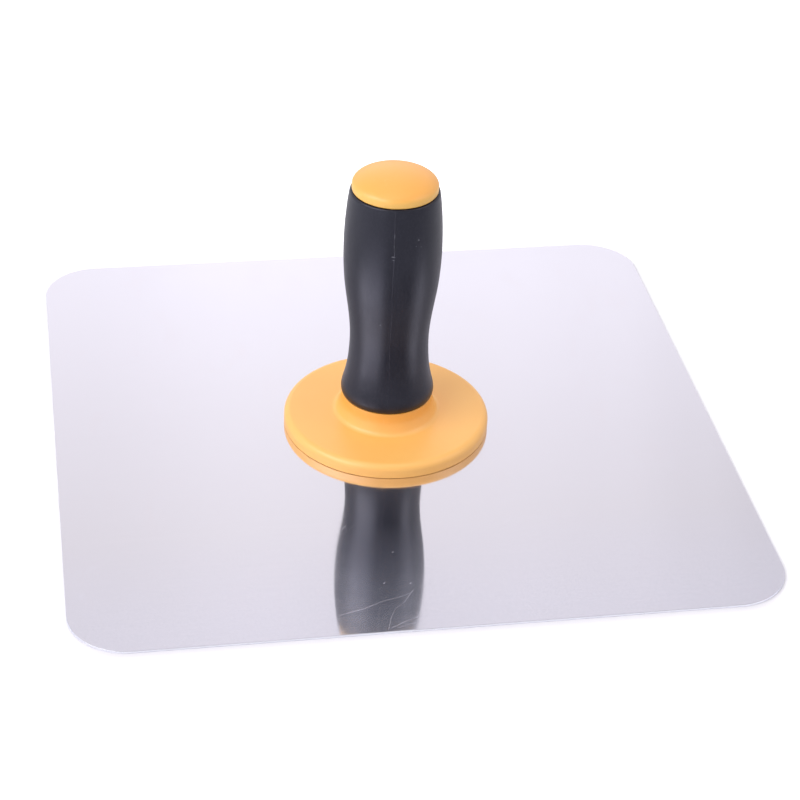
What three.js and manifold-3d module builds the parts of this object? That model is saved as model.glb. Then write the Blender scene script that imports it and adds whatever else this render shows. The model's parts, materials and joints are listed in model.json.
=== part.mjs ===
// Plasterer's hawk: square sheet-metal plate on an upright centre handle.
// Millimetres, +Z up. The origin is the centre of the plate's flat working face (its underside),
// and the handle stands on the other face along +Z.
//
// The plate is pressed with a conical dimple at its centre. A countersunk screw sits in the dimple
// with its thread standing up as a stud, and a dished disc, a split washer and a nut clamp it there.
// The handle is a moulded core with a threaded insert, a soft grip over the core and a cap in the
// core's open end. It screws down on the stud until its flange meets the plate through a thin
// gasket.

import * as THREE from 'three';
import { mergeVertices } from 'three/addons/utils/BufferGeometryUtils.js';
import Module from 'manifold-3d';

// ---------- driving dimensions ----------
// _R is a radius, _T a thickness, _AF a size across flats.
// _BASE, _TOP and _Z are heights above the working face.
const GAP = 0.3;               // clearance between neighbouring parts
const OVERRUN = 1;             // how far a cutter reaches past the part it cuts

const PLATE_SIDE = 300;
const PLATE_CORNER_R = 25;
const PLATE_T = 1.0;
const DIMPLE_R = 10.2;         // mouth of the dimple in the working face
const DIMPLE_RISE = 4.2;       // how far the dimple stands above the sheet

const STUD_R = 4.9;            // M10 thread, drawn as a plain cylinder
const STUD_TOP = 36.0;
const STUD_CHAMFER = 1.0;
const STUD_HEAD_R = 9.3;
const STUD_HEAD_BASE = 0.15;   // head sits just inside the working face
const STUD_LAND_TOP = 0.45;    // top of the head's short straight edge
const KEY_AF = 6.0;            // hexagon key socket
const KEY_DEPTH = 3.2;

const DISC_R = 25;
const DISC_T = 1.5;
const DISC_BASE = PLATE_T + GAP;
const DISC_TOP = DISC_BASE + DISC_T + DIMPLE_RISE;
const WASHER_OUT_R = 9.0;
const WASHER_IN_R = 5.4;
const WASHER_T = 2.2;
const WASHER_BASE = DISC_TOP + GAP;
const NUT_AF = 17;             // M10 nut
const NUT_T = 8;
const NUT_BASE = WASHER_BASE + WASHER_T + GAP;
const NUT_TOP = NUT_BASE + NUT_T;

const GASKET_IN_R = 37;
const GASKET_OUT_R = 45.7;
const GASKET_T = 0.4;
const GASKET_GAP = 0.05;       // clearance on each face of the gasket
const GASKET_BASE = PLATE_T + GASKET_GAP;
const GASKET_TOP = GASKET_BASE + GASKET_T;

const FLANGE_R = 46.6;
const FLANGE_BASE = GASKET_TOP + GASKET_GAP;
const FLANGE_TOP = PLATE_T + 6.5;
const FLANGE_ROUND = 3.1;
const COLLAR_TOP = PLATE_T + 16.3;
const COLLAR_TOP_R = 20.2;
const INSERT_R = 7.5;
const INSERT_BASE = 21.8;
const INSERT_TOP = 33.2;

const GRIP_BASE = COLLAR_TOP + GAP;
const GRIP_TOP = PLATE_T + 120.0;
const TUBE_R = 14.7;           // core tube inside the grip
const TUBE_BORE_R = 12.0;
const TUBE_TOP = GRIP_TOP - GAP;
const CAP_BASE = GRIP_TOP + GAP;

// mesh resolution
const LARGE_SEGMENTS = 48;     // plate, disc, gasket and handle turnings
const SMALL_SEGMENTS = 36;     // screw, washer, nut and insert turnings
const CORNER_STEPS = 12;       // steps round each plate corner
const FLANGE_ROUND_STEPS = 5;

// ---------- geometry helpers ----------
const wasm = await Module();
wasm.setup();

// [radius, z] points turned about +Z. A profile that starts on the axis also ends on it;
// any other is a ring section and is closed here.
// LatheGeometry turns about its own +Y, so the result is stood up with +Y along +Z.
function lathe(profile, segments) {
  const points = profile.map(([radius, z]) => new THREE.Vector2(radius, z));
  if (profile[0][0] > 0) points.push(points[0].clone());
  return new THREE.LatheGeometry(points, segments).rotateX(Math.PI / 2);
}

// A right prism from a 2-D shape, standing on z = base.
function prism(shape, base, height) {
  const geometry = new THREE.ExtrudeGeometry(shape, {
    depth: height,
    bevelEnabled: false,
    curveSegments: CORNER_STEPS,
  });
  return geometry.translate(0, 0, base);
}

function signedVolume(position, triangles) {
  const [a, b, c] = [new THREE.Vector3(), new THREE.Vector3(), new THREE.Vector3()];
  let volume = 0;
  for (let i = 0; i < triangles.length; i += 3) {
    a.fromBufferAttribute(position, triangles[i]);
    b.fromBufferAttribute(position, triangles[i + 1]);
    c.fromBufferAttribute(position, triangles[i + 2]);
    volume += a.dot(b.cross(c)) / 6;
  }
  return volume;
}

// A manifold from a closed geometry: corners welded, collapsed triangles dropped and
// every face turned outwards.
function solid(geometry) {
  const bare = new THREE.BufferGeometry();
  bare.setAttribute('position', geometry.attributes.position);
  bare.setIndex(geometry.index);
  const welded = mergeVertices(bare, 1e-4);
  const position = welded.attributes.position;
  const corners = welded.index.array;

  let triangles = [];
  for (let i = 0; i < corners.length; i += 3) {
    const [a, b, c] = corners.subarray(i, i + 3);
    if (a !== b && b !== c && a !== c) triangles.push(a, b, c);
  }
  if (signedVolume(position, triangles) < 0) {
    const flipped = [];
    for (let i = 0; i < triangles.length; i += 3) {
      flipped.push(triangles[i], triangles[i + 2], triangles[i + 1]);
    }
    triangles = flipped;
  }
  return new wasm.Manifold(new wasm.Mesh({
    numProp: 3,
    vertProperties: new Float32Array(position.array),
    triVerts: new Uint32Array(triangles),
  }));
}

const turned = (profile, segments) => solid(lathe(profile, segments));

function geometryOf(manifold) {
  const mesh = manifold.getMesh();
  const geometry = new THREE.BufferGeometry();
  geometry.setAttribute('position', new THREE.Float32BufferAttribute(mesh.vertProperties, 3));
  geometry.setIndex(Array.from(mesh.triVerts));
  return geometry;
}

function roundedSquare(side, cornerR) {
  const centre = side / 2 - cornerR;
  const quadrants = [[1, -1], [1, 1], [-1, 1], [-1, -1]];
  const shape = new THREE.Shape();
  quadrants.forEach(([signX, signY], i) => {
    const start = ((i - 1) * Math.PI) / 2;
    const end = (i * Math.PI) / 2;
    shape.absarc(signX * centre, signY * centre, cornerR, start, end);
  });
  shape.closePath();
  return shape;
}

// Polygon with evenly spaced corners, the first on +X; radiusAt gives each corner's radius.
function polygon(count, radiusAt) {
  const points = [];
  for (let i = 0; i < count; i++) {
    const angle = (i * Math.PI) / (count / 2);
    const radius = radiusAt(i);
    points.push(new THREE.Vector2(radius * Math.cos(angle), radius * Math.sin(angle)));
  }
  const shape = new THREE.Shape(points);
  shape.closePath();
  return shape;
}

const cornerRadius = (acrossFlats) => acrossFlats / Math.sqrt(3);
const hexagon = (acrossFlats) => polygon(6, () => cornerRadius(acrossFlats));

// Profile points of a quarter circle, from its outermost point up to its top.
function quarterRound(centreR, centreZ, radius, steps) {
  const points = [];
  for (let i = 0; i <= steps; i++) {
    const angle = THREE.MathUtils.degToRad((90 * i) / steps);
    points.push([centreR + radius * Math.cos(angle), centreZ + radius * Math.sin(angle)]);
  }
  return points;
}

// Equal boxes spaced evenly about +Z, the first half a pitch round from +X.
// length is radial, width tangential; middleR and middleZ place the box centres.
function boxRing({ count, length, width, height, middleR, middleZ }) {
  const boxes = [];
  for (let i = 0; i < count; i++) {
    const box = new THREE.BoxGeometry(length, width, height);
    box.translate(middleR, 0, middleZ);
    box.rotateZ(((i + 0.5) * 2 * Math.PI) / count);
    boxes.push(solid(box));
  }
  return boxes;
}

// Cutter for an M10 threaded hole, drawn plain and flared at both ends.
function threadBore(base, top) {
  const boreR = 5.3;
  const mouthR = 6.2;
  const flare = 0.6;
  return turned([
    [0, base - OVERRUN],
    [mouthR, base - OVERRUN],
    [boreR, base + flare],
    [boreR, top - flare],
    [mouthR, top + OVERRUN],
    [0, top + OVERRUN],
  ], SMALL_SEGMENTS);
}

function piece(name, geometry, material) {
  geometry.computeVertexNormals();
  const mesh = new THREE.Mesh(geometry, material);
  mesh.name = name;
  return mesh;
}

// ---------- materials ----------
const finish = (color, roughness, metalness) =>
  new THREE.MeshStandardMaterial({ color, roughness, metalness });
const metal = ({ color, roughness }) => finish(color, roughness, 1.0);
const polymer = ({ color, roughness }) => finish(color, roughness, 0.0);

const sheetMetal = metal({ color: 0xd9d6e0, roughness: 0.22 });
const zincSteel = metal({ color: 0xb9bcc2, roughness: 0.38 });
const brass = metal({ color: 0xc9a45c, roughness: 0.35 });
const yellowPlastic = polymer({ color: 0xf9bb63, roughness: 0.5 });
const blackGrip = polymer({ color: 0x2d2e36, roughness: 0.62 });
const gasketRubber = polymer({ color: 0x1d1d20, roughness: 0.85 });

// ---------- plate with its pressed dimple ----------
function bladePlate() {
  const lipDrop = 0.7;         // the dimple's end face slopes down and in by this much
  const lipZ = PLATE_T + DIMPLE_RISE;
  const throatZ = lipZ - lipDrop;
  const throatR = DIMPLE_R - throatZ;                        // dimple narrows at 45 degrees
  const coneOffset = 1.414 * PLATE_T;                        // sheet thickness across the cone
  const coneRootR = DIMPLE_R + coneOffset - PLATE_T;         // outer cone at the sheet's top
  const holeR = coneRootR - 0.2;
  const rootRingR = DIMPLE_R + 1.2;                          // ring that overlaps the sheet

  const sheet = solid(prism(roundedSquare(PLATE_SIDE, PLATE_CORNER_R), 0, PLATE_T));
  const hole = turned([
    [0, -OVERRUN],
    [holeR, -OVERRUN],
    [holeR, PLATE_T + OVERRUN],
    [0, PLATE_T + OVERRUN],
  ], LARGE_SEGMENTS);
  const dimple = turned([
    [DIMPLE_R, 0],
    [rootRingR, 0],
    [rootRingR, PLATE_T],
    [coneRootR, PLATE_T],
    [throatR + lipDrop, lipZ],
    [throatR, throatZ],
  ], LARGE_SEGMENTS);
  return piece('blade_plate', geometryOf(sheet.subtract(hole).add(dimple)), sheetMetal);
}

// ---------- countersunk screw that forms the stud ----------
function studScrew() {
  const neckZ = STUD_LAND_TOP + STUD_HEAD_R - STUD_R;        // 45-degree cone above the land
  const body = turned([
    [0, STUD_HEAD_BASE],
    [STUD_HEAD_R, STUD_HEAD_BASE],
    [STUD_HEAD_R, STUD_LAND_TOP],
    [STUD_R, neckZ],
    [STUD_R, STUD_TOP - STUD_CHAMFER],
    [STUD_R - STUD_CHAMFER, STUD_TOP],
    [0, STUD_TOP],
  ], SMALL_SEGMENTS);
  const socket = solid(prism(hexagon(KEY_AF), STUD_HEAD_BASE - OVERRUN, KEY_DEPTH + OVERRUN));
  return piece('stud_screw', geometryOf(body.subtract(socket)), zincSteel);
}

// ---------- dished backing disc over the dimple ----------
function backingDisc() {
  const boreR = 5.5;
  const crownOutR = 7.2;       // top of the cone's outer face
  const crownInR = 6.6;        // top of its inner face
  const chamfer = 0.5;
  const brimTop = DISC_BASE + DISC_T;
  return piece('backing_disc', lathe([
    [DISC_R, DISC_BASE],
    [DISC_R, brimTop - chamfer],
    [DISC_R - chamfer, brimTop],
    [crownOutR + DIMPLE_RISE, brimTop],
    [crownOutR, DISC_TOP],
    [boreR, DISC_TOP],
    [boreR, DISC_TOP - DISC_T],
    [crownInR, DISC_TOP - DISC_T],
    [crownInR + DIMPLE_RISE, DISC_BASE],
  ], LARGE_SEGMENTS), zincSteel);
}

// ---------- split washer: a rectangular-section ring with one slanted cut ----------
function springWasher() {
  const cutWidth = 1.0;
  const cutSlant = 30;         // degrees from upright
  const ring = turned([
    [WASHER_IN_R, WASHER_BASE],
    [WASHER_OUT_R, WASHER_BASE],
    [WASHER_OUT_R, WASHER_BASE + WASHER_T],
    [WASHER_IN_R, WASHER_BASE + WASHER_T],
  ], SMALL_SEGMENTS);
  const cut = new THREE.BoxGeometry(8, cutWidth, 6);
  cut.rotateX(THREE.MathUtils.degToRad(cutSlant));
  cut.translate((WASHER_IN_R + WASHER_OUT_R) / 2, 0, WASHER_BASE + WASHER_T / 2);
  return piece('spring_washer', geometryOf(ring.subtract(solid(cut))), zincSteel);
}

// ---------- hexagon nut, corners chamfered top and bottom ----------
function lockNut() {
  const faceR = NUT_AF / 2 - 0.1;
  const cornerR = cornerRadius(NUT_AF) + 0.02;
  const chamfer = 0.9;
  const faceMargin = 0.001;    // keeps the envelope's end faces off the nut's
  const hex = solid(prism(hexagon(NUT_AF), NUT_BASE, NUT_T));
  const envelope = turned([
    [0, NUT_BASE - faceMargin],
    [faceR, NUT_BASE - faceMargin],
    [cornerR, NUT_BASE + chamfer],
    [cornerR, NUT_TOP - chamfer],
    [faceR, NUT_TOP + faceMargin],
    [0, NUT_TOP + faceMargin],
  ], SMALL_SEGMENTS);
  const nut = hex.intersect(envelope).subtract(threadBore(NUT_BASE, NUT_TOP));
  return piece('lock_nut', geometryOf(nut), zincSteel);
}

// ---------- gasket ring under the flange ----------
function flangeGasket() {
  return piece('flange_gasket', lathe([
    [GASKET_IN_R, GASKET_BASE],
    [GASKET_OUT_R, GASKET_BASE],
    [GASKET_OUT_R, GASKET_TOP],
    [GASKET_IN_R, GASKET_TOP],
  ], LARGE_SEGMENTS), gasketRubber);
}

// ---------- handle core: flange, collar, tube and insert boss in one moulding ----------
// Stiffening ribs under the flange, clear of the backing disc.
const RIBS = { count: 12, length: 10.6, width: 1.6, height: 2.9, middleR: 31.7, middleZ: 3.35 };

function handleCore() {
  const rimChamfer = 0.4;
  const ceilingZ = 4.6;        // underside of the flange inside its rim
  const webBase = 18.9;        // underside of the web that the insert bears on
  const bossTop = 36.2;
  const studHoleR = 5.7;
  const pocketR = INSERT_R + GAP;
  const waistR = INSERT_R - 0.6;
  const grooveR = TUBE_BORE_R + 0.8;
  const profile = [
    // underside rim land, outwards
    [36.5, FLANGE_BASE],
    [FLANGE_R - rimChamfer, FLANGE_BASE],
    [FLANGE_R, FLANGE_BASE + rimChamfer],
    // flange edge, rounded over at the top
    ...quarterRound(
      FLANGE_R - FLANGE_ROUND, FLANGE_TOP - FLANGE_ROUND, FLANGE_ROUND, FLANGE_ROUND_STEPS,
    ),
    // top face, then the fillet up into the collar
    [24.6, FLANGE_TOP + 0.1],
    [23.3, FLANGE_TOP + 0.45],
    [22.3, FLANGE_TOP + 1.3],
    [21.7, FLANGE_TOP + 2.6],
    [21.0, FLANGE_TOP + 5.5],
    [20.5, COLLAR_TOP - 0.9],
    [COLLAR_TOP_R, COLLAR_TOP - 0.25],
    [COLLAR_TOP_R - 0.3, COLLAR_TOP],
    // shoulder under the grip, then the tube
    [TUBE_R, COLLAR_TOP],
    [TUBE_R, TUBE_TOP - 0.6],
    [TUBE_R - 0.6, TUBE_TOP],
    [TUBE_BORE_R + 0.5, TUBE_TOP],
    [TUBE_BORE_R, TUBE_TOP - 0.5],
    // snap groove for the cap
    [TUBE_BORE_R, 112.6],
    [grooveR, 112.0],
    [grooveR, 110.6],
    [TUBE_BORE_R, 110.0],
    // down the bore to the boss
    [TUBE_BORE_R, 38.0],
    [studHoleR + 2.6, bossTop],
    [studHoleR, bossTop],
    // insert pocket, narrowed at the insert's waist
    [studHoleR, INSERT_TOP + GAP],
    [pocketR, INSERT_TOP + GAP],
    [pocketR, 29.2],
    [waistR, 28.6],
    [waistR, 26.4],
    [pocketR, 25.8],
    [pocketR, INSERT_BASE - GAP],
    [studHoleR, INSERT_BASE - GAP],
    [studHoleR, webBase],
    // nut pocket inside the collar, then the flange ceiling
    [12.3, webBase],
    [12.6, 6.0],
    [14.0, ceilingZ],
    [36.2, ceilingZ],
  ];
  let core = turned(profile, LARGE_SEGMENTS);
  for (const rib of boxRing(RIBS)) core = core.add(rib);
  return piece('handle_core', geometryOf(core), yellowPlastic);
}

// ---------- threaded insert with a waist that the moulding grips ----------
function threadedInsert() {
  const splines = 24;
  const splineDepth = 0.45;
  const waistR = INSERT_R - 0.9;
  const cutterR = INSERT_R + OVERRUN;
  const star = polygon(splines * 2, (i) => (i % 2 ? INSERT_R - splineDepth : INSERT_R));
  const knurled = solid(prism(star, INSERT_BASE, INSERT_TOP - INSERT_BASE));
  const waist = turned([
    [waistR, 26.1],
    [cutterR, 25.6],
    [cutterR, 29.4],
    [waistR, 28.9],
  ], SMALL_SEGMENTS);
  const insert = knurled.subtract(waist).subtract(threadBore(INSERT_BASE, INSERT_TOP));
  return piece('threaded_insert', geometryOf(insert), brass);
}

// ---------- soft grip, waisted low and bellied high ----------
// Outer face between its two ends, upwards: [radius, height above the plate's top face].
const GRIP_OUTLINE = [
  [20.45, 16.95], [20.8, 17.9], [20.95, 19.2], [20.7, 21.0], [19.9, 24.0], [19.1, 27.6],
  [18.35, 32.2], [17.9, 37.5], [17.62, 43.0], [17.66, 48.3], [18.1, 54.3], [18.85, 60.6],
  [19.8, 67.3], [20.66, 73.9], [21.2, 80.5], [21.5, 87.2], [21.55, 93.5], [21.4, 99.5],
  [21.1, 105.0], [20.7, 109.8], [20.15, 115.0], [19.55, 118.9], [19.3, 119.6],
];

const abovePlate = (outline) => outline.map(([radius, height]) => [radius, PLATE_T + height]);

function gripSleeve() {
  const boreR = TUBE_R + GAP;
  return piece('grip_sleeve', lathe([
    [boreR, GRIP_BASE],
    [20.0, GRIP_BASE],
    ...abovePlate(GRIP_OUTLINE),
    [18.95, GRIP_TOP],
    [boreR, GRIP_TOP],
  ], LARGE_SEGMENTS), blackGrip);
}

// ---------- domed end cap with a split snap-in skirt ----------
// Dome from the crown down to the edge: [radius, height above the plate's top face].
const CAP_DOME = [
  [0, 128.0], [6.0, 127.8], [10.0, 127.3], [13.5, 126.4], [16.0, 125.1],
  [17.6, 123.7], [18.5, 122.2], [18.8, 121.1], [18.6, 120.6],
];
// Slots that split the skirt.
const CAP_SLOTS = { count: 4, length: 6, width: 1.6, height: 10, middleR: 11.5, middleZ: 113.2 };

function endCap() {
  const skirtOutR = TUBE_BORE_R - GAP;
  const skirtInR = 9.9;
  const skirtBase = 109.6;
  const snapR = 12.3;          // bead that sits in the tube's groove
  let cap = turned([
    ...abovePlate(CAP_DOME),
    [18.3, CAP_BASE],
    // underside, then the skirt down inside the tube
    [skirtOutR, CAP_BASE],
    [skirtOutR, 113.0],
    [snapR, 112.1],
    [snapR, 111.2],
    [11.4, skirtBase],
    [skirtInR, skirtBase],
    // hollow under the dome
    [skirtInR, PLATE_T + 122.0],
    [0, PLATE_T + 122.8],
  ], LARGE_SEGMENTS);
  for (const slot of boxRing(CAP_SLOTS)) cap = cap.subtract(slot);
  return piece('end_cap', geometryOf(cap), yellowPlastic);
}

// ---------- assembly ----------
const plateGroup = new THREE.Group();   // plate and the stud fixed in it
plateGroup.add(bladePlate(), studScrew(), backingDisc(), springWasher(), lockNut());

const gasketGroup = new THREE.Group();  // loose ring that turns with the handle
gasketGroup.add(flangeGasket());

const handleGroup = new THREE.Group();  // everything that screws off
handleGroup.add(handleCore(), threadedInsert(), gripSleeve(), endCap());

const hawk = new THREE.Group();
hawk.add(plateGroup, gasketGroup, handleGroup);

export default hawk;
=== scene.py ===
# A plasterer's hawk: a square sheet-metal plate with a handle standing on its middle.
# The plate lies flat, working face down at z = 0, its sides along X and Y. The handle rises
# along +Z on the origin. The front is -Y and the right is +X. Pieces are modelled in
# millimetres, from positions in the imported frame; the floor, lights and camera are in metres.
import bpy, bmesh, json, math
from functools import reduce
import numpy as np
from mathutils import Matrix, Vector

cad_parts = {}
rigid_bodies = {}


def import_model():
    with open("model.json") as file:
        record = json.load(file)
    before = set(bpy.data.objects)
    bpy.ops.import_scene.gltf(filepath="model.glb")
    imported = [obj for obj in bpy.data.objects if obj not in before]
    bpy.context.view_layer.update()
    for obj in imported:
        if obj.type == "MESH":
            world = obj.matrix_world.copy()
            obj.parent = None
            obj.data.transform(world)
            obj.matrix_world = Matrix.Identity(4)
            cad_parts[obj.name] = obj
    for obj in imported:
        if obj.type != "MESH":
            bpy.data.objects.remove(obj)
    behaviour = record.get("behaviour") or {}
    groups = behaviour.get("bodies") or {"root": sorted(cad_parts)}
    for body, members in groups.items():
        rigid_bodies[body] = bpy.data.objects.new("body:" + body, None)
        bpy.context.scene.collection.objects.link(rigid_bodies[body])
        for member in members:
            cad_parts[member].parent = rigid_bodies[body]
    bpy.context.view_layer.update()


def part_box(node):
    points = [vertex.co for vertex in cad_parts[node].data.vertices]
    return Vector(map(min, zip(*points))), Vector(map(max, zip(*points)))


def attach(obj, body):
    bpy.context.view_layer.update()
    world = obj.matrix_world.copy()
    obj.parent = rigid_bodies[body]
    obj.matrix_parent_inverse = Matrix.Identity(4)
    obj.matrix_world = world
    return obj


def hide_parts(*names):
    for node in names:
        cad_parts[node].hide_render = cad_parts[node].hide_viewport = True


for old in list(bpy.data.objects):
    bpy.data.objects.remove(old, do_unlink=True)
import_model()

MM = 0.001
TAU = 2.0 * math.pi


# ------------------------------------------------------------------ places from the frame
def box_mm(name):
    lo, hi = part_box(name)
    return [v * 1000.0 for v in lo], [v * 1000.0 for v in hi]


def heights(name):
    lo, hi = box_mm(name)
    return lo[2], hi[2]


HALF = box_mm("blade_plate")[1][0]           # half the plate's side
CORE_LO, CORE_HI = box_mm("handle_core")
CORE_BASE, FLANGE_R = CORE_LO[2], CORE_HI[0]
GASKET_R = box_mm("flange_gasket")[1][0]
GASKET_Z = heights("flange_gasket")
STUD_BASE = heights("stud_screw")[0]
WASHER_Z = heights("spring_washer")
NUT_Z = heights("lock_nut")
INSERT_Z = heights("threaded_insert")

SHEET = 1.0                                  # sheet thickness
CORNER = 25.0                                # plate corner radius
PITCH = 1.5                                  # stud thread
BORE_MAJOR, BORE_MINOR = 5.12, 4.22          # inside thread of the nut and the insert
PARTING = math.radians(-98.2)                # where the grip's mould line runs


# ------------------------------------------------------------------ mesh tools
def new_object(name, verts, faces, sharp, weld=0.0015):
    """Closed mesh from millimetre vertices: welded within weld, faces turned out, smooth
    except at edges sharper than sharp degrees."""
    mesh = bpy.data.meshes.new(name)
    mesh.from_pydata((np.asarray(verts, float) * MM).tolist(), [], faces)
    bm = bmesh.new()
    bm.from_mesh(mesh)
    bmesh.ops.remove_doubles(bm, verts=bm.verts, dist=weld * MM)
    bmesh.ops.dissolve_degenerate(bm, edges=bm.edges, dist=weld * MM * 0.5)
    loose = [v for v in bm.verts if not v.link_faces]
    if loose:
        bmesh.ops.delete(bm, geom=loose, context="VERTS")
    bmesh.ops.recalc_face_normals(bm, faces=bm.faces)
    bm.to_mesh(mesh)
    bm.free()
    mesh.polygons.foreach_set("use_smooth", [True] * len(mesh.polygons))
    mesh.set_sharp_from_angle(angle=math.radians(sharp))
    mesh.update()
    ob = bpy.data.objects.new(name, mesh)
    bpy.context.scene.collection.objects.link(ob)
    return ob


def even_angles(count, start=0.0):
    return start + np.arange(count) * TAU / count


def wrap_angle(angle):
    """The same angle between -pi and pi."""
    return (angle + math.pi) % TAU - math.pi


def clamp01(value):
    return min(1.0, max(0.0, value))


def hexagon(flat, angles):
    """Radii of a hexagon whose flats lie at distance flat from the axis."""
    return flat / np.cos((angles + TAU / 12) % (TAU / 6) - TAU / 12)


def ring(r, z, angles):
    """One ring of points about Z; r and z are numbers or one value per angle."""
    z = np.broadcast_to(z, angles.shape)
    return np.stack([r * np.cos(angles), r * np.sin(angles), z], 1)


def loft(rings, wrap=False):
    """Faces between rings of equal count as (verts, faces); wrap joins the last to the first."""
    count, n = len(rings), len(rings[0])
    faces = []
    for i in range(count if wrap else count - 1):
        a, b = i * n, ((i + 1) % count) * n
        for j in range(n):
            k = (j + 1) % n
            faces.append((a + j, a + k, b + k, b + j))
    return np.concatenate(rings), faces


def turned(profile, angles, place=None, wrap=True):
    """Turns a profile [(r, z), ...] about Z; place(r, z) may return changed radii and heights."""
    return loft([ring(*(place(r, z) if place else (r, z)), angles) for r, z in profile], wrap)


def join_parts(*parts):
    verts, faces = [], []
    for part_verts, part_faces in parts:
        base = len(verts)
        verts.extend(part_verts)
        faces.extend(tuple(base + i for i in face) for face in part_faces)
    return verts, faces


def rounded(corners, closed=True, step=18.0):
    """A polyline of (r, z) or (r, z, radius) corners with each radius drawn as an arc, in
    steps of at most step degrees."""
    pts = [(p[0], p[1], p[2] if len(p) > 2 else 0.0) for p in corners]
    n = len(pts)
    out = []
    for i in range(n):
        r, z, radius = pts[i]
        if radius <= 0 or (not closed and i in (0, n - 1)):
            out.append((r, z))
            continue
        corner = np.array([r, z])
        before = np.array(pts[i - 1][:2]) - corner
        after = np.array(pts[(i + 1) % n][:2]) - corner
        len_before, len_after = np.linalg.norm(before), np.linalg.norm(after)
        before, after = before / len_before, after / len_after
        angle = math.acos(max(-1.0, min(1.0, float(before @ after))))
        if angle > math.pi - 0.02:
            out.append((r, z))
            continue
        # the arc may use just under half of the shorter side
        reach = radius / math.tan(angle / 2)
        limit = 0.49 * min(len_before, len_after)
        if reach > limit:
            reach = limit
            radius = reach * math.tan(angle / 2)
        bisector = (before + after) / np.linalg.norm(before + after)
        centre = corner + bisector * (radius / math.sin(angle / 2))
        start = corner + before * reach - centre
        end = corner + after * reach - centre
        pieces = max(2, int(math.ceil(math.degrees(math.pi - angle) / step)))
        first = math.atan2(start[1], start[0])
        sweep = math.atan2(start[0] * end[1] - start[1] * end[0], float(start @ end))
        for q in range(pieces + 1):
            w = first + sweep * q / pieces
            out.append((float(centre[0] + radius * math.cos(w)),
                        float(centre[1] + radius * math.sin(w))))
    return out


def support(profile, closed=False, near=0.10, least=0.9):
    """Adds points just inside both ends of every long straight run, so smooth shading stays
    flat there."""
    out = []
    n = len(profile)
    for i in range(n):
        p = profile[i]
        out.append(p)
        if i == n - 1 and not closed:
            break
        q = profile[(i + 1) % n]
        length = math.hypot(q[0] - p[0], q[1] - p[1])
        if length > least:
            for f in (near / length, 1 - near / length):
                out.append((p[0] + (q[0] - p[0]) * f, p[1] + (q[1] - p[1]) * f))
    return out


def spline(points, count):
    """Natural cubic spline through (r, z) points, sampled evenly in chord length."""
    p = np.asarray(points, float)
    t = np.concatenate([[0], np.cumsum(np.linalg.norm(np.diff(p, axis=0), axis=1))])
    n = len(p)
    h = np.diff(t)
    system = np.zeros((n, n))
    rhs = np.zeros((n, 2))
    system[0, 0] = system[-1, -1] = 1
    for i in range(1, n - 1):
        system[i, i - 1:i + 2] = h[i - 1], 2 * (h[i - 1] + h[i]), h[i]
        rhs[i] = 6 * ((p[i + 1] - p[i]) / h[i] - (p[i] - p[i - 1]) / h[i - 1])
    curve = np.linalg.solve(system, rhs)
    out = []
    for s in np.linspace(0, t[-1], count):
        i = min(int(np.searchsorted(t, s, side="right")) - 1, n - 2)
        a, b = (t[i + 1] - s) / h[i], (s - t[i]) / h[i]
        bend = (a ** 3 - a) * curve[i] + (b ** 3 - b) * curve[i + 1]
        out.append(tuple(a * p[i] + b * p[i + 1] + bend * h[i] ** 2 / 6))
    return out


def helix_wall(n, z_lo, z_hi, r_major, r_minor, r_lo, r_hi, lead=0.0):
    """Threaded wall between z_lo and z_hi as (verts, faces). Every column follows the same
    right-hand helix, counted from z = 0, so a stud and a nut made with it are in mesh. The
    ends run out to r_lo and r_hi, tapering over the length lead."""
    # (share of a pitch, radius)
    stations = [(0.0, r_major), (0.125, r_major), (0.4375, r_minor), (0.6875, r_minor)]
    first = int(math.floor(z_lo / PITCH)) - 2
    turns = int(math.ceil((z_hi - z_lo) / PITCH)) + 4
    rows = turns * len(stations)
    verts = []
    for i in range(n + 1):
        a = TAU * i / n
        for j in range(rows):
            share, r = stations[j % 4]
            z = (first + j // 4 + share + i / n) * PITCH
            if lead and z < z_lo + lead:
                r = min(r, r_lo + (r_major - r_lo) * max(0.0, z - z_lo) / lead)
            if lead and z > z_hi - lead:
                r = min(r, r_hi + (r_major - r_hi) * max(0.0, z_hi - z) / lead)
            if z <= z_lo:
                z, r = z_lo, r_lo
            if z >= z_hi:
                z, r = z_hi, r_hi
            verts.append((r * math.cos(a), r * math.sin(a), z))
    faces = []
    for i in range(n):
        for j in range(rows - 1):
            a, b = i * rows + j, (i + 1) * rows + j
            faces.append((a, b, b + 1, a + 1))
    return verts, faces


# ------------------------------------------------------------------ node tools
def is_socket(value):
    return hasattr(value, "is_output")


def rgba(colour):
    return colour if is_socket(colour) else (*colour, 1.0)


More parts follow.
